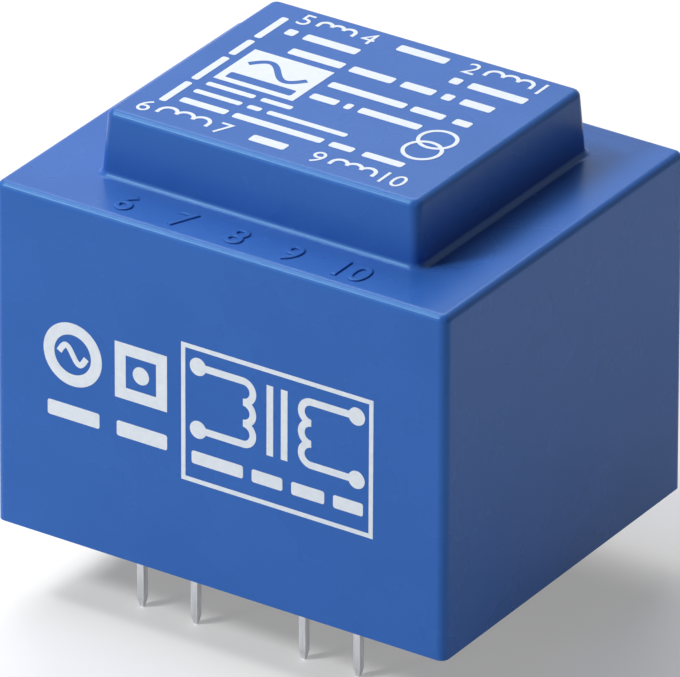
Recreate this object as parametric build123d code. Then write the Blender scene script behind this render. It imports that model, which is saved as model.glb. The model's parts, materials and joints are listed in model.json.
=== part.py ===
"""Encapsulated two-chamber mains transformer for printed circuit boards.

All sizes are in millimetres, +Z is up. The origin is the centre of the case's open rim, the face
that sits on the board. The pins point down from it. The primary pin row is at the front, at -Y.
"""
import os
from math import atan2, degrees, sqrt

from build123d import *

# Core: E and I sheets, stacked flat and turned end for end in alternate layers
YOKE_WIDTH = 6.4            # width of a yoke, of an outer leg and of a window
SHEET_THICKNESS = 0.5
SHEET_COUNT = 37

# Coil former: one moulding with a tube, three flanges and two pin rails
FORMER_FIT = 0.1            # from the centre leg to the tube
TUBE_WALL = 0.8
TUBE_CORNER = 0.8           # flat across each of the tube's corners
FLANGE_THICKNESS = 0.8
FLANGE_CORNER = 1.0
WINDOW_GAP = 0.3            # from a flange's edge to the outer leg
YOKE_GAP = 0.2              # from the former to the yokes
COIL_FLOOR = 2.9            # height of the flanges' lower edge above the rim
RAIL_FLOOR = 2.3            # height of the pin rails' underside above the rim
PIN_EDGE = 1.8              # rail plastic from a pin's axis to the rail's faces
LEAD_CHANNEL = 1.3          # open channel for the leads between end flange and rail
NOTCH_WIDTH = 0.9

# Windings, their leads and the tapes over them
EDGE_MARGIN = 0.7           # from the outer tape to the flanges' edge
LAYER_TAPE = 0.1
COVER_TAPE = 0.2
LEAD_DIAMETER = 0.25
LEAD_TAIL = 1.0             # length of a lead inside its winding
INNER_LEAD_X = 2.5          # where the leads of the inner pins pass the end flange

# Pins of square tinned wire, five places to a row with the middle one left empty
PIN_PITCH = 5.0
PIN_WIDTH = 0.6
PIN_LENGTH = 6.5            # below the rim
PIN_TIP_LENGTH = 0.8
PIN_TIP_WIDTH = 0.3
PIN_SEAT = 4.2              # depth in the rail
SOLDER_LENGTH = 1.3
SOLDER_COLLAR = 0.45        # solder round a pin, at the rail
SOLDER_TOE = 0.2            # solder round a pin, at its lower end

# Case: a cup with its open side down and a raised block for the coil on top
WALL = 0.7
CORE_SIDE_GAP = 0.6         # from the core to the case, at the height of the shelf
CORE_END_GAP = 0.1
SHELF_GAP = 1.05            # above the core
COIL_SIDE_GAP = 1.0         # from the flanges to the block's inside, at its top
COIL_END_GAP = 1.5
COIL_TOP_GAP = 0.4
BODY_DRAFT = 0.1            # how far each side leans in over its height
BLOCK_DRAFT = 0.35
BLOCK_OFFSET = 0.5          # the block stands this far towards the secondary side
BODY_CORNER_RADIUS = 0.7
BODY_TOP_RADIUS = 0.6
BLOCK_CORNER_RADIUS = 0.8
BLOCK_TOP_RADIUS = 0.6
BLOCK_FOOT_RADIUS = 0.5
CAVITY_CORNER_RADIUS = 0.3
POTTING_RECESS = 0.4        # from the rim up to the resin

# Sizes that follow from the core
leg_width = 2 * YOKE_WIDTH
core_width = 6 * YOKE_WIDTH
core_depth = 5 * YOKE_WIDTH
window_length = 3 * YOKE_WIDTH
stack_height = SHEET_COUNT * SHEET_THICKNESS

# Sizes of the coil former, measured out from the centre leg
flange_reach = YOKE_WIDTH - WINDOW_GAP
tube_reach = FORMER_FIT + TUBE_WALL
former_end = window_length / 2 - YOKE_GAP
chamber_end = former_end - FLANGE_THICKNESS
stack_bottom = COIL_FLOOR + flange_reach
stack_top = stack_bottom + stack_height
stack_middle = stack_bottom + stack_height / 2
rail_top = stack_bottom - YOKE_GAP
tube_floor = stack_bottom - tube_reach
pin_row_y = former_end + LEAD_CHANNEL + PIN_EDGE
rail_end_x = 2 * PIN_PITCH + PIN_EDGE
rail_outer_y = pin_row_y + PIN_EDGE
channel_y = former_end + LEAD_CHANNEL / 2

# The windings share what the flanges leave after the tapes
winding_build = (flange_reach - tube_reach - EDGE_MARGIN - LAYER_TAPE - COVER_TAPE) / 2
inner_reach = tube_reach + winding_build
layer_tape_reach = inner_reach + LAYER_TAPE
outer_reach = layer_tape_reach + winding_build
cover_tape_reach = outer_reach + COVER_TAPE
inner_lead_z = stack_bottom - (tube_reach + inner_reach) / 2
outer_lead_z = stack_bottom - (layer_tape_reach + outer_reach) / 2
joint_z = RAIL_FLOOR - SOLDER_LENGTH / 2

# Inside and outside of the case
held_width = max(core_width / 2, rail_end_x) * 2
held_depth = max(core_depth / 2, rail_outer_y) * 2
cavity_top_width = held_width + 2 * CORE_SIDE_GAP
cavity_top_depth = held_depth + 2 * CORE_END_GAP
cavity_width = cavity_top_width + 2 * BODY_DRAFT
cavity_depth = cavity_top_depth + 2 * BODY_DRAFT
case_width = cavity_width + 2 * WALL
case_depth = cavity_depth + 2 * WALL
shelf_underside = stack_top + SHELF_GAP
body_height = shelf_underside + WALL
block_cavity_top = stack_top + flange_reach + COIL_TOP_GAP
total_height = block_cavity_top + WALL
block_cavity_width = leg_width + 2 * flange_reach + 2 * (COIL_SIDE_GAP + BLOCK_DRAFT)
block_cavity_depth = 2 * (former_end + COIL_END_GAP + BLOCK_DRAFT)
block_width = block_cavity_width + 2 * WALL
block_depth = block_cavity_depth + 2 * WALL

# Pin numbers and their places, seen from above: counted left to right in front, right to left behind
FRONT = -1
REAR = 1
PINS = {
    1: (2, REAR),
    2: (1, REAR),
    4: (-1, REAR),
    5: (-2, REAR),
    6: (-2, FRONT),
    7: (-1, FRONT),
    9: (1, FRONT),
    10: (2, FRONT),
}


def drafted_box(width, depth, radius, bottom, top, draft):
    """A box with rounded upright corners whose sides lean in by the draft over its height."""
    height = top - bottom
    foot = Pos(0, 0, bottom) * Rectangle(width, depth)
    box = extrude(foot, height, taper=degrees(atan2(draft, height)))
    upright_edges = box.edges().group_by(Axis.Z)[1]
    return fillet(upright_edges, radius)


def cavity():
    """The space inside the case: the main room and the coil's room over it."""
    main_room = drafted_box(
        cavity_width, cavity_depth, CAVITY_CORNER_RADIUS, 0, shelf_underside, BODY_DRAFT
    )
    coil_room = drafted_box(
        block_cavity_width,
        block_cavity_depth,
        CAVITY_CORNER_RADIUS,
        shelf_underside,
        block_cavity_top,
        BLOCK_DRAFT,
    )
    return main_room + Pos(0, BLOCK_OFFSET, 0) * coil_room


def case():
    body = drafted_box(case_width, case_depth, BODY_CORNER_RADIUS, 0, body_height, BODY_DRAFT)
    block = drafted_box(
        block_width, block_depth, BLOCK_CORNER_RADIUS, body_height, total_height, BLOCK_DRAFT
    )
    shell = body + Pos(0, BLOCK_OFFSET, 0) * block
    crown = shell.edges().group_by(Axis.Z)[-1]
    shell = fillet(crown, BLOCK_TOP_RADIUS)
    shell = fillet(shelf_edges(shell, at_block=True), BLOCK_FOOT_RADIUS)
    shell = fillet(shelf_edges(shell, at_block=False), BODY_TOP_RADIUS)
    return shell - cavity()


def shelf_edges(shell, at_block):
    """Edges at the shelf's height: the block's foot, or else the body's top edges."""
    level = shell.edges().filter_by_position(Axis.Z, body_height - 0.01, body_height + 0.01)
    reach_x = block_width / 2 + BLOCK_FOOT_RADIUS + 0.01
    reach_y = block_depth / 2 + BLOCK_FOOT_RADIUS + 0.01
    chosen = []
    for edge in level:
        middle = edge.center()
        near_block = abs(middle.X) < reach_x and abs(middle.Y - BLOCK_OFFSET) < reach_y
        if near_block == at_block:
            chosen.append(edge)
    return chosen


def sheets(shape):
    """One flat solid for each layer, with every second one turned end for end."""
    layers = []
    for layer in range(SHEET_COUNT):
        height = stack_bottom + layer * SHEET_THICKNESS
        turn = 180 * (layer % 2)
        layers.append(extrude(Pos(0, 0, height) * Rot(0, 0, turn) * shape, SHEET_THICKNESS))
    return layers


def e_shape():
    plate = Pos(0, -YOKE_WIDTH / 2) * Rectangle(core_width, 4 * YOKE_WIDTH)
    for side in (-1, 1):
        window_x = side * (leg_width + YOKE_WIDTH) / 2
        plate -= Pos(window_x, 0) * Rectangle(YOKE_WIDTH, window_length)
    return plate


def i_shape():
    return Pos(0, 2 * YOKE_WIDTH) * Rectangle(core_width, YOKE_WIDTH)


def core_outline():
    """The whole stack as one solid with its two windows."""
    stack = Rectangle(core_width, core_depth)
    for side in (-1, 1):
        window_x = side * (leg_width + YOKE_WIDTH) / 2
        stack -= Pos(window_x, 0) * Rectangle(YOKE_WIDTH, window_length)
    return extrude(Pos(0, 0, stack_bottom) * stack, stack_height)


def across(shape, y_from, y_to):
    """A shape drawn in X and Z round the leg's axis, extruded along Y."""
    plane = Plane((0, y_to, stack_middle), x_dir=(1, 0, 0), z_dir=(0, -1, 0))
    return extrude(plane * shape, y_to - y_from)


def loop(reach, corner):
    """A rectangle with cut corners that stands off the centre leg by the given reach."""
    outline = Rectangle(leg_width + 2 * reach, stack_height + 2 * reach)
    return chamfer(outline.vertices(), corner)


def wound_loop(reach):
    """The tube's outline grown to the given reach, as far at the corners as at the sides."""
    return loop(reach, TUBE_CORNER + (2 - sqrt(2)) * (reach - tube_reach))


def ring(inner, outer, side):
    """What is wound in one chamber between two distances from the leg, flange to flange."""
    section = wound_loop(outer) - wound_loop(inner)
    ends = sorted([side * FLANGE_THICKNESS / 2, side * chamber_end])
    return across(section, ends[0], ends[1])


def pin_place(number):
    """Where a pin's axis is."""
    place, side = PINS[number]
    return place * PIN_PITCH, side * pin_row_y


def notch_x(number):
    """Where a pin's lead passes the end flange: the outer pins' leads run under the leg's edges."""
    place, _ = PINS[number]
    inwards = leg_width / 2 if abs(place) == 2 else INNER_LEAD_X
    return inwards if place > 0 else -inwards


def lead_height(number):
    """Pins left of the middle belong to the inner windings, the others to the outer ones."""
    place, _ = PINS[number]
    return inner_lead_z if place < 0 else outer_lead_z


def lead(number):
    """The wire from a winding through the flange's notch and down the channel to its pin."""
    _, side = PINS[number]
    pin_x, _ = pin_place(number)
    height = lead_height(number)
    start = (notch_x(number), side * (chamber_end - LEAD_TAIL), height)
    outside = (notch_x(number), side * channel_y, height)
    below = (pin_x, side * channel_y, joint_z)
    end = (pin_x, side * (pin_row_y - PIN_WIDTH / 2), joint_z)
    route = Polyline(start, outside, below, end)
    section = Plane(origin=start, z_dir=(0, side, 0)) * RegularPolygon(LEAD_DIAMETER / 2, 8)
    return sweep(section, path=route, transition=Transition.RIGHT)


def winding(inner, outer, side, pins):
    """One winding with its two leads."""
    wound = ring(inner, outer, side)
    for number in pins:
        wound += lead(number)
    return wound


def pin(number):
    x, y = pin_place(number)
    shoulder = -PIN_LENGTH + PIN_TIP_LENGTH
    wire = Pos(0, 0, shoulder) * Rectangle(PIN_WIDTH, PIN_WIDTH)
    point = Pos(0, 0, -PIN_LENGTH) * Rectangle(PIN_TIP_WIDTH, PIN_TIP_WIDTH)
    shaft = extrude(wire, RAIL_FLOOR + PIN_SEAT - shoulder)
    tip = loft([point, wire], ruled=True)
    return Pos(x, y, 0) * (shaft + tip)


def solder_joint(number):
    """The cone of solder under the rail that holds a lead to its pin."""
    x, y = pin_place(number)
    toe = RegularPolygon(PIN_WIDTH / 2 + SOLDER_TOE, 8)
    collar = RegularPolygon(PIN_WIDTH / 2 + SOLDER_COLLAR, 8)
    cone = loft([Pos(0, 0, -SOLDER_LENGTH) * toe, collar], ruled=True)
    return Pos(x, y, RAIL_FLOOR) * cone - pin(number) - lead(number)


def rail(side):
    """A pin rail under a yoke, and the web that joins it to the end flange over the lead channel."""
    near_y = pin_row_y - PIN_EDGE
    block = Pos(0, side * pin_row_y, (RAIL_FLOOR + rail_top) / 2) * Box(
        2 * rail_end_x, 2 * PIN_EDGE, rail_top - RAIL_FLOOR
    )
    web_length = near_y - chamber_end
    web = Pos(0, side * (near_y + chamber_end) / 2, (tube_floor + rail_top) / 2) * Box(
        2 * rail_end_x, web_length, rail_top - tube_floor
    )
    joined = block + web
    for place in (-2, -1, 0, 1, 2):
        hole = Pos(place * PIN_PITCH, side * pin_row_y, RAIL_FLOOR) * Rectangle(PIN_WIDTH, PIN_WIDTH)
        joined -= extrude(hole, PIN_SEAT)
    return joined


def lead_notch(number):
    """The slot in an end flange's lower edge that lets a lead out."""
    _, side = PINS[number]
    top = lead_height(number) + NOTCH_WIDTH / 2
    height = top - COIL_FLOOR
    middle_y = side * (chamber_end + former_end) / 2
    return Pos(notch_x(number), middle_y, top - height / 2) * Box(
        NOTCH_WIDTH, FLANGE_THICKNESS, height
    )


def coil_former():
    body = across(loop(tube_reach, TUBE_CORNER), -former_end, former_end)
    flange = loop(flange_reach, FLANGE_CORNER)
    body += across(flange, -former_end, -chamber_end)
    body += across(flange, -FLANGE_THICKNESS / 2, FLANGE_THICKNESS / 2)
    body += across(flange, chamber_end, former_end)
    for side in (FRONT, REAR):
        body += rail(side)
    for number in PINS:
        body -= lead_notch(number)
    return body - former_bore()


def former_bore():
    """The former's rectangular hole for the centre leg."""
    opening = Rectangle(leg_width + 2 * FORMER_FIT, stack_height + 2 * FORMER_FIT)
    return across(opening, -former_end, former_end)


def potting(inner_parts):
    """Resin in all the room that the inner parts leave, up to just short of the rim."""
    resin = split(cavity(), Plane.XY.offset(POTTING_RECESS), keep=Keep.TOP)
    resin -= core_outline() + former_bore()
    for shape in inner_parts:
        resin -= shape
    return resin


def build():
    """All pieces by name."""
    pieces = {"coil_former": coil_former()}
    pieces["primary_winding_1"] = winding(tube_reach, inner_reach, FRONT, (6, 7))
    pieces["primary_winding_2"] = winding(layer_tape_reach, outer_reach, FRONT, (9, 10))
    pieces["secondary_winding_1"] = winding(tube_reach, inner_reach, REAR, (4, 5))
    pieces["secondary_winding_2"] = winding(layer_tape_reach, outer_reach, REAR, (1, 2))
    for name, side in (("primary", FRONT), ("secondary", REAR)):
        pieces[name + "_layer_tape"] = ring(inner_reach, layer_tape_reach, side)
        pieces[name + "_cover_tape"] = ring(outer_reach, cover_tape_reach, side)
    for number in PINS:
        pieces["pin_" + str(number)] = pin(number)
    joints = [solder_joint(number) for number in PINS]
    pieces["potting_compound"] = potting(list(pieces.values()) + joints)
    pieces["solder_joints"] = Compound(children=joints)
    pieces["e_laminations"] = Compound(children=sheets(e_shape()))
    pieces["i_laminations"] = Compound(children=sheets(i_shape()))
    pieces["case"] = case()
    return pieces


os.makedirs("parts", exist_ok=True)
for piece_name, piece_shape in build().items():
    export_step(piece_shape, "parts/" + piece_name + ".step")
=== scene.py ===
"""Looks of an encapsulated transformer for printed circuit boards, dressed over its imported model.

Lengths are in millimetres in the object's own frame and become metres where a mesh, lamp or
texture is made. +Z is up, and the primary pin row is at the front, at -Y.
"""
import json
from math import acos, cos, pi, radians, sin, sqrt, tau

import bpy
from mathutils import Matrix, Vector

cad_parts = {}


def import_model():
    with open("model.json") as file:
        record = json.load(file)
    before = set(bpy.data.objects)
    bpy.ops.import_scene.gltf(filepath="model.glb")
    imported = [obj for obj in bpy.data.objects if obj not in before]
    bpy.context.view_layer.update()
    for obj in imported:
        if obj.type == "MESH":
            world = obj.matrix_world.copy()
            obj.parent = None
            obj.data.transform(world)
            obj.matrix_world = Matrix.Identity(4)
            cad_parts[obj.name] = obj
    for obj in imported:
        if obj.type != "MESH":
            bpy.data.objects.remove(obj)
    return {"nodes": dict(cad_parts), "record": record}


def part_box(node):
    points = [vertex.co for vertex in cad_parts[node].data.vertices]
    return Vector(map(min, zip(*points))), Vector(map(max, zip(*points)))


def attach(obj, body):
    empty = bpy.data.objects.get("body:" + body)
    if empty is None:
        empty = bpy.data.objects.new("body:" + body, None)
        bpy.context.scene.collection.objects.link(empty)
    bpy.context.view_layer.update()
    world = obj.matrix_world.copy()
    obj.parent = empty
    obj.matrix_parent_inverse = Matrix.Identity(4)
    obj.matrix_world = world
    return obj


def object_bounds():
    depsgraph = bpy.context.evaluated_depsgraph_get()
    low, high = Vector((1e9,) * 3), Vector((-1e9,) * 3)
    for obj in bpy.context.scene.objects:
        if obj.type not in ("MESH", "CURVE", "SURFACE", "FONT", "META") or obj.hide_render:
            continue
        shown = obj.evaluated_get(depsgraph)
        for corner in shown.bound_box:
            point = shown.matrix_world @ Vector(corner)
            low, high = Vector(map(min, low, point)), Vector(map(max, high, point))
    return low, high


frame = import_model()
cad_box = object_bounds()

MM = 0.001

# The photograph's camera, fitted to the edges of the case
IMAGE_WIDTH = 680               # pixels
FOCAL_LENGTH = 12131.4          # pixels
SENSOR_WIDTH = 36.0
CAMERA_AZIMUTH = 33.37          # degrees from the front towards +X
CAMERA_ELEVATION = 27.717
CAMERA_DISTANCE = 939.524
CAMERA_ROLL = 0.159             # the picture stands turned by this much, clockwise
CENTRE_RIGHT = -0.021           # from the origin to the picture's centre, across the view
CENTRE_UP = 12.653

# The case, as far as what lies on it needs
BODY_DRAFT = 0.1                # lean of the front face over the body's height
BLOCK_EDGE = 16.0               # beyond this X the top of the case is the shelf
case_low, case_high = (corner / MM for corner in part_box("case"))
case_points = [point.co / MM for point in frame["nodes"]["case"].data.vertices]
shelf_height = max(point.z for point in case_points if abs(point.x) > BLOCK_EDGE)

# Raised pin numbers on the shelf, in the case's own plastic
NUMBER_HEIGHT = 2.5             # of the figures
NUMBER_RELIEF = 0.14            # how far they stand up
NUMBER_SINK = 0.05              # how far they reach into the shelf
NUMBER_BEVEL = 0.09
NUMBER_BOLD = 0.02
NUMBER_ROW = 14.35              # distance of the row's middle from the centre
NUMBER_STEP = 5.0
NUMBER_LEFT = -0.7              # a figure's left edge, from the pin that it counts
NUMBER_PLACES = (-2, -1, 0, 1, 2)
NUMBER_CURVE_STEPS = 6          # in each curve of a figure's outline
NUMBER_BEVEL_STEPS = 2
FRONT_NUMBERS = ("6", "7", "8", "9", "10")
REAR_NUMBERS = ("5", "4", "3", "2", "1")

# White print
INK = 0.02                      # thickness over the plastic
INK_SINK = 0.01
INK_OVERLAP = 0.006             # a second layer stands this much higher
BAR_CORNER = 0.2
CURVE_STEPS = 48                # on a full circle, or on one period of a wave

# Print on the block's top: rows of bars as (middle y, height, spans in x)
TOP_ROWS = (
    (10.15, 1.0, ((-1.4, 3.1),)),
    (7.7, 1.0, ((-10.1, -9.2), (-8.4, -3.5), (5.0, 5.9), (6.7, 11.8))),
    (5.05, 1.0, ((-8.0, -3.1), (-2.4, 1.5), (2.3, 5.2), (6.0, 6.9), (7.7, 10.5))),
    (1.95, 0.9, ((-2.3, 4.6), (5.2, 8.1), (9.0, 10.5))),
    (-0.45, 0.9, ((-2.4, 0.0), (0.7, 1.3), (2.0, 7.5))),
    (-3.1, 0.6, ((-10.2, -5.8), (-5.2, -2.4))),
    (-4.65, 0.6, ((-10.3, -6.0), (-5.4, -4.2), (-3.6, 3.6))),
    (-6.45, 0.8, ((-10.3, -6.1), (-5.5, 2.6), (3.3, 5.4), (6.3, 9.9))),
    (-8.85, 1.0, ((-2.3, 0.9),)),
)
SIDE_LINE_X = -11.4             # the upright line along the left edge
SIDE_LINE_WIDTH = 0.65
SIDE_LINE_SPANS = ((-7.5, -3.7), (-3.1, 1.4), (2.0, 4.9), (5.5, 9.6))

# Winding symbols with their pin numbers as (first figure, last figure, from x, to x)
PRINTED_NUMBER = 1.8
REAR_ROW_Y = 10.15
FRONT_ROW_Y = -8.85
REAR_WINDINGS = (("5", "4", -10.4, -3.5), ("2", "1", 4.8, 11.8))
FRONT_WINDINGS = (("6", "7", -12.5, -4.3), ("9", "10", 3.2, 11.6))
COIL_BUMPS = 3
COIL_LINE = 0.32
COIL_LEG = 0.45
COIL_GAP = 0.75                 # from a figure to the coil

# The white plate at the left of the top, with a wave and a bar left blue
PLATE = (-10.35, -3.05, -2.05, 3.75)
PLATE_WAVE = (-9.4, -4.0, 1.4, 1.05, 0.55)      # from x, to x, y, amplitude, line
PLATE_BAR = (-9.7, -3.7, -0.95, 1.0)

# Two linked rings, the common symbol of a transformer
RING_X = 9.7
RING_YS = (-1.4, -3.55)
RING_RADIUS = 1.65
RING_LINE = 0.32

# Print on the front face, in x and z
ROUND_MARK = (-13.35, 16.35, 2.7, 1.0)           # x, z, radius, line
ROUND_MARK_WAVE = (-14.6, -12.1, 16.35, 0.7, 0.5)
SQUARE_MARK = (-7.05, 16.35, 2.4, 1.0)          # x, z, half width, line
SQUARE_MARK_DOT = 0.75
MARK_BARS = (11.3, 1.3, ((-15.7, -10.9), (-9.3, -4.65)))
FRAME = (-3.35, 14.1, 8.65, 20.45)
FRAME_LINE = 0.38
DIAGRAM_X = 5.4                 # the middle of the winding diagram
DIAGRAM_Z = (13.3, 18.7)
DIAGRAM_LINE = 0.6
DIAGRAM_BUMPS = 3
DIAGRAM_CORE = 0.65             # from the middle to each of the core's two lines
DIAGRAM_COIL = 3.1              # from the middle to the coils' feet
DIAGRAM_LEAD = 4.1              # from there to the terminals
DIAGRAM_TERMINAL = 0.75
FRAME_BARS = (10.85, 1.1, ((-2.4, 2.3), (3.1, 5.9), (6.7, 9.7), (10.5, 13.2)))

# The middle part of its range that noise really reaches
NOISE_LOW = 0.3
NOISE_HIGH = 0.7

# Bubbles at the face of the resin
BUBBLE_SPACING = 2.6
BUBBLE_EDGE = (0.05, 0.11)      # where a bubble's wall starts and ends, as shares of the spacing
BUBBLE_DEPTH = 0.06


def add_node(tree, kind, settings=None, **inputs):
    """A shader node with its settings; an input is a value or another node's output."""
    node = tree.nodes.new("ShaderNode" + kind)
    for name, value in (settings or {}).items():
        setattr(node, name, value)
    for name, value in inputs.items():
        socket = node.inputs[name]
        if isinstance(value, bpy.types.NodeSocket):
            tree.links.new(value, socket)
        else:
            socket.default_value = value
    return node


def noise(tree, size, stretch=(1, 1, 1), detail=3.0):
    """Noise with features of about the given size, longer along an axis by the stretch."""
    place = add_node(tree, "TexCoord").outputs["Object"]
    scale = [1 / (size * MM * factor) for factor in stretch]
    place = add_node(tree, "Mapping", Vector=place, Scale=scale).outputs["Vector"]
    texture = add_node(tree, "TexNoise", Vector=place, Scale=1.0, Detail=detail)
    return texture.outputs["Fac"]


def ramp(tree, factor, colours):
    """Turns noise into a colour between two limits."""
    node = add_node(tree, "ValToRGB", Fac=factor)
    places = (NOISE_LOW, NOISE_HIGH)
    for element, position, colour in zip(node.color_ramp.elements, places, colours):
        element.position = position
        element.color = (*colour, 1.0)
    return node.outputs["Color"]


def spread(tree, factor, lowest, highest):
    """Turns noise into a value between two limits."""
    node = add_node(tree, "MapRange", Value=factor)
    node.inputs["From Min"].default_value = NOISE_LOW
    node.inputs["From Max"].default_value = NOISE_HIGH
    node.inputs["To Min"].default_value = lowest
    node.inputs["To Max"].default_value = highest
    return node.outputs["Result"]


def relief(tree, height, depth, below=None):
    """A bump of the given depth, laid over another one."""
    node = add_node(tree, "Bump", Height=height, Distance=depth * MM, Strength=1.0)
    if below:
        tree.links.new(below, node.inputs["Normal"])
    return node.outputs["Normal"]


def surface(name, colours, patch, roughness, grain, stretch=(1, 1, 1), **shader_values):
    """A finish: colour and roughness vary in patches, and a grain of (size, depth) gives relief."""
    material = bpy.data.materials.new(name)
    material.use_nodes = True
    tree = material.node_tree
    shader = tree.nodes["Principled BSDF"]
    patches = noise(tree, patch, stretch)
    tree.links.new(ramp(tree, patches, colours), shader.inputs["Base Color"])
    tree.links.new(spread(tree, patches, *roughness), shader.inputs["Roughness"])
    bump = relief(tree, noise(tree, grain[0], stretch), grain[1])
    tree.links.new(bump, shader.inputs["Normal"])
    for socket, value in shader_values.items():
        shader.inputs[socket.replace("_", " ")].default_value = value
    return material


def add_relief(material, height, depth):
    """Lays one more bump over the relief that a finish already has."""
    tree = material.node_tree
    socket = tree.nodes["Principled BSDF"].inputs["Normal"]
    below = socket.links[0].from_socket
    tree.links.new(relief(tree, height, depth, below), socket)


def stripes(tree, axis, pitch):
    """Ridges that follow each other along one axis, a pitch apart."""
    place = add_node(tree, "TexCoord").outputs["Object"]
    value = add_node(tree, "SeparateXYZ", Vector=place).outputs[axis]
    turns = add_node(tree, "Math", {"operation": "MULTIPLY"})
    tree.links.new(value, turns.inputs[0])
    turns.inputs[1].default_value = tau / (pitch * MM)
    ridge = add_node(tree, "Math", {"operation": "SINE"})
    tree.links.new(turns.outputs[0], ridge.inputs[0])
    return ridge.outputs[0]


def case_plastic():
    """Blue moulded plastic: a satin, finely eroded face that is never quite flat."""
    material = surface(
        "case_plastic_look",
        ((0.027, 0.110, 0.412), (0.031, 0.119, 0.436)),
        patch=7.0,
        roughness=(0.25, 0.29),
        grain=(0.18, 0.0012),
        Specular_IOR_Level=0.23,
        Specular_Tint=(0.45, 0.88, 1.0, 1.0),
    )
    add_relief(material, noise(material.node_tree, size=9.0, detail=1.0), depth=0.02)
    return material


def potting_resin():
    """Dark cast resin with a slow swell and a few small bubbles at its face."""
    material = surface(
        "potting_resin_look",
        ((0.012, 0.012, 0.014), (0.022, 0.022, 0.026)),
        patch=5.0,
        roughness=(0.22, 0.38),
        grain=(0.5, 0.004),
    )
    tree = material.node_tree
    place = add_node(tree, "TexCoord").outputs["Object"]
    cells = add_node(tree, "TexVoronoi", Vector=place, Scale=1 / (BUBBLE_SPACING * MM))
    pits = add_node(tree, "MapRange", Value=cells.outputs["Distance"])
    pits.inputs["From Min"].default_value, pits.inputs["From Max"].default_value = BUBBLE_EDGE
    add_relief(material, pits.outputs["Result"], BUBBLE_DEPTH)
    add_relief(material, noise(tree, size=6.0, detail=1.0), depth=0.12)
    return material


def former_plastic():
    """Black glass-filled plastic with the streaks of its fibres."""
    return surface(
        "former_plastic_look",
        ((0.014, 0.014, 0.015), (0.034, 0.034, 0.036)),
        patch=0.8,
        roughness=(0.45, 0.62),
        grain=(0.12, 0.004),
        stretch=(3, 1, 1),
    )


def core_steel():
    """Silicon steel sheet: blue-grey oxide with fine rolling lines along the sheet."""
    return surface(
        "core_steel_look",
        ((0.20, 0.21, 0.24), (0.36, 0.36, 0.37)),
        patch=1.6,
        roughness=(0.28, 0.46),
        grain=(0.06, 0.001),
        stretch=(1, 14, 1),
        Metallic=1.0,
    )


def enamelled_copper():
    """Enamelled copper wire wound turn by turn along the leg."""
    material = surface(
        "enamelled_copper_look",
        ((0.42, 0.11, 0.035), (0.62, 0.21, 0.07)),
        patch=1.2,
        roughness=(0.16, 0.30),
        grain=(0.1, 0.001),
        stretch=(4, 1, 4),
        Metallic=0.85,
        Coat_Weight=0.6,
        Coat_Roughness=0.12,
    )
    add_relief(material, stripes(material.node_tree, "Y", pitch=0.22), depth=0.03)
    return material


def polyester_tape():
    """Thin yellow film wound in overlapping layers."""
    material = surface(
        "polyester_tape_look",
        ((0.62, 0.40, 0.035), (0.76, 0.53, 0.07)),
        patch=2.5,
        roughness=(0.14, 0.28),
        grain=(1.4, 0.02),
        Coat_Weight=0.4,
    )
    add_relief(material, stripes(material.node_tree, "Y", pitch=2.7), depth=0.015)
    return material


def solder():
    """Tin solder with the soft ripples it freezes in."""
    return surface(
        "solder_look",
        ((0.50, 0.51, 0.53), (0.68, 0.69, 0.70)),
        patch=0.35,
        roughness=(0.18, 0.36),
        grain=(0.22, 0.01),
        Metallic=1.0,
    )


def tinned_wire():
    """Tinned wire: soft grey metal with drawing marks along the pin."""
    return surface(
        "tinned_wire_look",
        ((0.60, 0.62, 0.65), (0.74, 0.75, 0.77)),
        patch=0.22,
        roughness=(0.36, 0.50),
        grain=(0.05, 0.002),
        stretch=(1, 1, 9),
        Metallic=1.0,
    )


def print_ink():
    """White pad print, a little uneven and with a touch of the blue below it."""
    return surface(
        "print_ink_look",
        ((0.66, 0.72, 0.79), (0.72, 0.77, 0.83)),
        patch=0.5,
        roughness=(0.42, 0.58),
        grain=(0.15, 0.002),
        Specular_IOR_Level=0.3,
    )


def circle(u, v, radius):
    angles = [tau * step / CURVE_STEPS for step in range(CURVE_STEPS)]
    return [(u + radius * cos(angle), v + radius * sin(angle)) for angle in angles]


def rectangle(left, right, low, high):
    return [(left, low), (right, low), (right, high), (left, high)]


def bar(left, right, middle, height):
    """A bar with rounded corners, as a shape of one outline."""
    radius = min(BAR_CORNER, height / 2)
    low = middle - height / 2 + radius
    high = middle + height / 2 - radius
    corners = ((right - radius, high), (left + radius, high), (left + radius, low), (right - radius, low))
    steps = CURVE_STEPS // 8
    outline = []
    for quarter, (u, v) in enumerate(corners):
        for step in range(steps + 1):
            angle = (quarter + step / steps) * pi / 2
            outline.append((u + radius * cos(angle), v + radius * sin(angle)))
    return [outline]


def bars(row):
    """The bars of a row, given as (middle, height, spans)."""
    middle, height, spans = row
    return [bar(left, right, middle, height) for left, right in spans]


def ring(u, v, radius, line):
    return [circle(u, v, radius), circle(u, v, radius - line)]


def wave(start, end, middle, amplitude, line):
    """The outline of one period of a sine wave drawn with a line of the given width."""
    upper, lower = [], []
    for step in range(CURVE_STEPS + 1):
        share = step / CURVE_STEPS
        u = start + (end - start) * share
        v = middle + amplitude * sin(tau * share)
        slope = amplitude * tau / (end - start) * cos(tau * share)
        length = sqrt(1 + slope * slope)
        across_u = -slope / length * line / 2
        across_v = line / 2 / length
        upper.append((u + across_u, v + across_v))
        lower.append((u - across_u, v - across_v))
    return upper + lower[::-1]


def arc(u, radius, first, last):
    """Points from one angle to another on a circle round a place on the U axis."""
    steps = CURVE_STEPS // 2
    angles = [first + (last - first) * step / steps for step in range(steps + 1)]
    return [(u + radius * cos(angle), radius * sin(angle)) for angle in angles]


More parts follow.
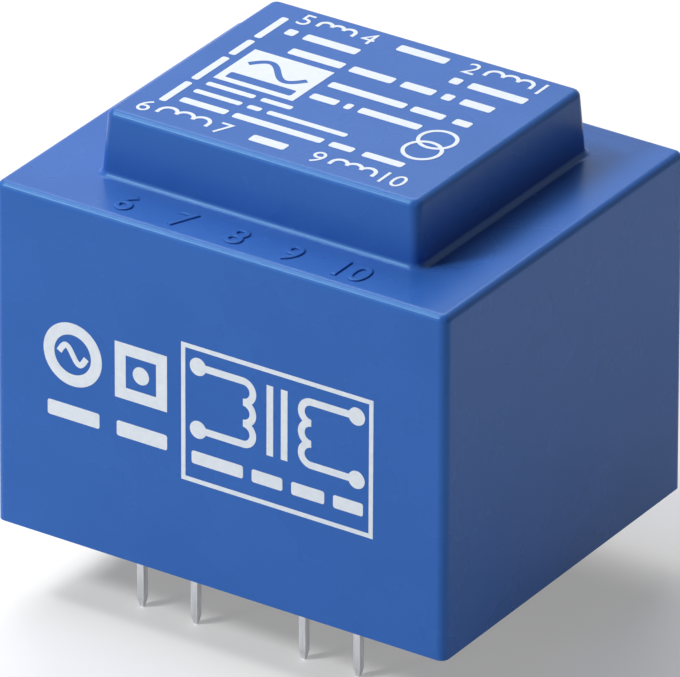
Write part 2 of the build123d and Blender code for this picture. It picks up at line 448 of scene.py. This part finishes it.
def coil(length, bumps, leg, line):
    """A coil's outline: bumps towards +V from 0 to its length along U, and a leg down at both ends."""
    half = line / 2
    radius = length / (2 * bumps)
    centres = [radius * (2 * bump + 1) for bump in range(bumps)]
    meeting = acos(radius / (radius + half))
    outline = [(-half, -leg)]
    for bump, centre in enumerate(centres):
        first = pi if bump == 0 else pi - meeting
        last = 0 if bump == bumps - 1 else meeting
        outline += arc(centre, radius + half, first, last)
    outline += [(length + half, -leg), (length - half, -leg)]
    for centre in reversed(centres):
        outline += arc(centre, radius - half, 0, pi)
    outline.append((half, -leg))
    return outline


def moved(outline, u, v, upright=0):
    """An outline shifted, and first turned upright to the left (1) or mirrored to the right (-1)."""
    if upright:
        outline = [(-upright * b, a) for a, b in outline]
    return [(u + a, v + b) for a, b in outline]


def solid_of(curve):
    """Points and faces of a curve object's filled and extruded form."""
    holder = bpy.data.objects.new("form", curve)
    bpy.context.scene.collection.objects.link(holder)
    bpy.context.view_layer.update()
    graph = bpy.context.evaluated_depsgraph_get()
    mesh = bpy.data.meshes.new_from_object(holder.evaluated_get(graph))
    points = [tuple(vertex.co) for vertex in mesh.vertices]
    faces = [tuple(polygon.vertices) for polygon in mesh.polygons]
    bpy.data.objects.remove(holder)
    bpy.data.curves.remove(curve)
    bpy.data.meshes.remove(mesh)
    return points, faces


def flat_shape(outlines, extra=0.0):
    """The solid of a shape: its outer outline first, then its holes. It is as thick as the ink.

    Where two shapes overlap, one has some extra thickness, so that no two faces coincide.
    """
    curve = bpy.data.curves.new("shape", "CURVE")
    curve.dimensions = "2D"
    curve.fill_mode = "BOTH"
    curve.extrude = (INK + extra + INK_SINK) / 2
    for outline in outlines:
        spline = curve.splines.new("POLY")
        spline.points.add(len(outline) - 1)
        for point, (u, v) in zip(spline.points, outline):
            point.co = (u, v, 0, 1)
        spline.use_cyclic_u = True
    points, faces = solid_of(curve)
    return [(u, v, w + (INK + extra - INK_SINK) / 2) for u, v, w in points], faces


def number_shape(text, height, thickness, sink, bevel=0.0, bold=0.0):
    """The solid of a number, centred and of the given height, from below the face to above it."""
    curve = bpy.data.curves.new("number", "FONT")
    curve.body = text
    curve.offset = bold
    points, _ = solid_of(curve)
    size = height / (max(p[1] for p in points) - min(p[1] for p in points))
    curve = bpy.data.curves.new("number", "FONT")
    curve.body = text
    curve.size = size
    curve.resolution_u = NUMBER_CURVE_STEPS
    curve.offset = bold * size - bevel
    curve.extrude = (thickness + sink) / 2 - bevel
    curve.bevel_depth = bevel
    curve.bevel_resolution = NUMBER_BEVEL_STEPS
    points, faces = solid_of(curve)
    middle_u = (max(p[0] for p in points) + min(p[0] for p in points)) / 2
    middle_v = (max(p[1] for p in points) + min(p[1] for p in points)) / 2
    lift = (thickness - sink) / 2
    return [(u - middle_u, v - middle_v, w + lift) for u, v, w in points], faces


def shifted(solid, u, v):
    points, faces = solid
    return [(a + u, b + v, c) for a, b, c in points], faces


def piece(name, solids, place, material):
    """One mesh object from solids in (u, v, w), laid on the object by place(u, v, w)."""
    points, faces = [], []
    for solid_points, solid_faces in solids:
        first = len(points)
        points += [place(*point) * MM for point in solid_points]
        faces += [tuple(first + index for index in face) for face in solid_faces]
    mesh = bpy.data.meshes.new(name)
    mesh.from_pydata(points, [], faces)
    mesh.validate()
    mesh.materials.append(material)
    made = bpy.data.objects.new(name, mesh)
    bpy.context.scene.collection.objects.link(made)
    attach(made, "root")


def on_top(u, v, w):
    return Vector((u, v, case_high.z + w))


def on_front(u, v, w):
    """On the front face, which leans back a little with height."""
    lean = BODY_DRAFT * v / shelf_height
    return Vector((u, case_low.y + lean - w, v))


def on_shelf(u, v, w):
    return Vector((u, v, shelf_height + w))


def winding_symbols(windings, row_y):
    """A coil between its two pin numbers, for each winding of a row."""
    solids = []
    for first, last, left, right in windings:
        coil_ends = []
        for text, end, inwards in ((first, left, 1), (last, right, -1)):
            number = number_shape(text, PRINTED_NUMBER, INK, INK_SINK)
            half_width = max(point[0] for point in number[0])
            solids.append(shifted(number, end + inwards * half_width, row_y))
            coil_ends.append(end + inwards * (2 * half_width + COIL_GAP))
        start, stop = coil_ends
        outline = coil(stop - start, COIL_BUMPS, COIL_LEG, COIL_LINE)
        solids.append(flat_shape([moved(outline, start, row_y)]))
    return solids


def top_print():
    shapes = []
    for row in TOP_ROWS:
        shapes += bars(row)
    for low, high in SIDE_LINE_SPANS:
        left = SIDE_LINE_X - SIDE_LINE_WIDTH / 2
        right = SIDE_LINE_X + SIDE_LINE_WIDTH / 2
        shapes.append(bar(left, right, (low + high) / 2, high - low))
    shapes.append([rectangle(*PLATE), wave(*PLATE_WAVE), bar(*PLATE_BAR)[0]])
    solids = [flat_shape(shape) for shape in shapes]
    for layer, ring_y in enumerate(RING_YS):
        solids.append(flat_shape(ring(RING_X, ring_y, RING_RADIUS, RING_LINE), layer * INK_OVERLAP))
    solids += winding_symbols(REAR_WINDINGS, REAR_ROW_Y)
    solids += winding_symbols(FRONT_WINDINGS, FRONT_ROW_Y)
    return solids


def winding_diagram():
    """Two coils face to face with the core between them, and leads to four terminals."""
    low, high = DIAGRAM_Z
    half = DIAGRAM_LINE / 2
    outline = coil(high - low, DIAGRAM_BUMPS, DIAGRAM_LEAD, DIAGRAM_LINE)
    solids = []
    for side in (-1, 1):
        core = DIAGRAM_X + side * DIAGRAM_CORE
        solids.append(flat_shape([rectangle(core - half, core + half, low - half, high + half)]))
        foot = DIAGRAM_X + side * DIAGRAM_COIL
        solids.append(flat_shape([moved(outline, foot, low, upright=side)]))
        for height in (low, high):
            terminal = circle(foot + side * DIAGRAM_LEAD, height, DIAGRAM_TERMINAL)
            solids.append(flat_shape([terminal], INK_OVERLAP))
    return solids


def front_print():
    mark_x, mark_z, half_width, line = SQUARE_MARK
    left, right, low, high = FRAME
    square = [
        rectangle(mark_x - reach, mark_x + reach, mark_z - reach, mark_z + reach)
        for reach in (half_width, half_width - line)
    ]
    border = [
        rectangle(left + inset, right - inset, low + inset, high - inset)
        for inset in (0, FRAME_LINE)
    ]
    shapes = [ring(*ROUND_MARK), [wave(*ROUND_MARK_WAVE)], square, border]
    shapes.append([circle(mark_x, mark_z, SQUARE_MARK_DOT)])
    shapes += bars(MARK_BARS) + bars(FRAME_BARS)
    return [flat_shape(shape) for shape in shapes] + winding_diagram()


def pin_numbers():
    """The raised figures on both long shelves. Each row reads from its own side of the case."""
    solids = []
    for place, front_text, rear_text in zip(NUMBER_PLACES, FRONT_NUMBERS, REAR_NUMBERS):
        for text, side in ((front_text, -1), (rear_text, 1)):
            points, faces = number_shape(
                text, NUMBER_HEIGHT, NUMBER_RELIEF, NUMBER_SINK, NUMBER_BEVEL, NUMBER_BOLD
            )
            shift = NUMBER_LEFT - min(point[0] for point in points)
            turned = [(-side * (u + shift), -side * v, w) for u, v, w in points]
            solids.append(shifted((turned, faces), place * NUMBER_STEP, side * NUMBER_ROW))
    return solids


def dress():
    """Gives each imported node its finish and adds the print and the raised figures."""
    finishes = {
        "case_plastic": case_plastic(),
        "potting_resin": potting_resin(),
        "former_plastic": former_plastic(),
        "core_steel": core_steel(),
        "enamelled_copper": enamelled_copper(),
        "polyester_tape": polyester_tape(),
        "solder": solder(),
        "tinned_wire": tinned_wire(),
        "print_ink": print_ink(),
    }
    for part in frame["record"]["subparts"]:
        for worn in frame["nodes"][part["node"]].material_slots:
            worn.material = finishes[part["material_slot"]]
    plastic, ink = finishes["case_plastic"], finishes["print_ink"]
    piece("pin_numbers", pin_numbers(), on_shelf, plastic)
    piece("top_print", top_print(), on_top, ink)
    piece("front_print", front_print(), on_front, ink)


# Studio: the object stands on its pins on a pale floor
FLOOR_SIZE = 6000.0
FLOOR_WHITE = 0.94
FLOOR_GLOW = 0.3                # share of plain white in what is seen of the floor, shadow and all
AMBIENT = 0.06                  # strength of the world as a light, where it isn't looked at
LAMP_AIM = Vector((0.0, 0.0, 15.0))
# Lamps as (name, azimuth from the front towards +X, elevation, distance, size, watts)
LAMPS = (
    ("key", -39.0, 39.0, 700.0, 130.0, 2.45),
    ("upper", -62.0, 57.0, 650.0, 130.0, 1.2),
    ("left", -100.0, 60.0, 650.0, 400.0, 1.3),
    ("low", -30.0, 14.0, 700.0, 130.0, 0.4),
    ("rear", -146.0, 52.0, 500.0, 300.0, 0.95),
)


def direction(azimuth, elevation):
    """The way to a point seen at that azimuth, counted from the front, and elevation."""
    turn, rise = radians(azimuth), radians(elevation)
    return Vector((sin(turn) * cos(rise), -cos(turn) * cos(rise), sin(rise)))


def aim(thing, back):
    """Turns a camera or lamp so that it looks against the given direction."""
    thing.rotation_euler = back.to_track_quat("Z", "Y").to_euler()


def camera():
    back = direction(CAMERA_AZIMUTH, CAMERA_ELEVATION)
    right = Vector((cos(radians(CAMERA_AZIMUTH)), sin(radians(CAMERA_AZIMUTH)), 0))
    centre = right * CENTRE_RIGHT + back.cross(right) * CENTRE_UP
    data = bpy.data.cameras.new("camera")
    data.sensor_width = SENSOR_WIDTH
    data.lens = SENSOR_WIDTH * FOCAL_LENGTH / IMAGE_WIDTH
    made = bpy.data.objects.new("camera", data)
    made.location = (centre + back * CAMERA_DISTANCE) * MM
    aim(made, back)
    made.rotation_euler.rotate_axis("Z", radians(CAMERA_ROLL))
    bpy.context.scene.collection.objects.link(made)
    bpy.context.scene.camera = made


def lamp(name, azimuth, elevation, distance, size, watts):
    data = bpy.data.lights.new(name, "AREA")
    data.shape = "DISK"
    data.size = size * MM
    data.energy = watts
    made = bpy.data.objects.new(name, data)
    made.visible_camera = False
    back = direction(azimuth, elevation)
    made.location = (LAMP_AIM + back * distance) * MM
    aim(made, back)
    bpy.context.scene.collection.objects.link(made)


def seen_directly(tree):
    """One where the camera looks at it straight, in a mirror or through glass, else zero."""
    path = add_node(tree, "LightPath")
    seen = path.outputs["Is Camera Ray"]
    for kind in ("Is Glossy Ray", "Is Transmission Ray"):
        either = add_node(tree, "Math", {"operation": "MAXIMUM"})
        tree.links.new(seen, either.inputs[0])
        tree.links.new(path.outputs[kind], either.inputs[1])
        seen = either.outputs[0]
    return seen


def floor():
    """The plain floor, at the pins' tips."""
    half = FLOOR_SIZE / 2 * MM
    height = cad_box[0].z
    mesh = bpy.data.meshes.new("floor")
    corners = [(-half, -half, height), (half, -half, height), (half, half, height), (-half, half, height)]
    mesh.from_pydata(corners, [], [(0, 1, 2, 3)])
    white = bpy.data.materials.new("floor_white")
    white.use_nodes = True
    tree = white.node_tree
    shader = tree.nodes["Principled BSDF"]
    shader.inputs["Base Color"].default_value = (FLOOR_WHITE, FLOOR_WHITE, FLOOR_WHITE, 1)
    shader.inputs["Roughness"].default_value = 1.0
    shader.inputs["Specular IOR Level"].default_value = 0.0
    share = add_node(tree, "MapRange", Value=seen_directly(tree))
    share.inputs["To Max"].default_value = FLOOR_GLOW
    glow = add_node(tree, "Emission", Strength=1.0)
    mixed = add_node(tree, "MixShader", Fac=share.outputs["Result"])
    tree.links.new(shader.outputs["BSDF"], mixed.inputs[1])
    tree.links.new(glow.outputs["Emission"], mixed.inputs[2])
    tree.links.new(mixed.outputs["Shader"], tree.nodes["Material Output"].inputs["Surface"])
    mesh.materials.append(white)
    made = bpy.data.objects.new("floor", mesh)
    bpy.context.scene.collection.objects.link(made)


def world():
    """A dim room that shows as white where the camera or a mirror looks at it."""
    made = bpy.data.worlds.new("studio")
    made.use_nodes = True
    tree = made.node_tree
    background = tree.nodes["Background"]
    strength = add_node(tree, "MapRange", Value=seen_directly(tree))
    strength.inputs["To Min"].default_value = AMBIENT
    strength.inputs["To Max"].default_value = 1.0
    tree.links.new(strength.outputs["Result"], background.inputs["Strength"])
    background.inputs["Color"].default_value = (1, 1, 1, 1)
    bpy.context.scene.world = made


camera()
floor()
world()
for lamp_values in LAMPS:
    lamp(*lamp_values)
dress()
bpy.context.scene.view_settings.view_transform = "Standard"
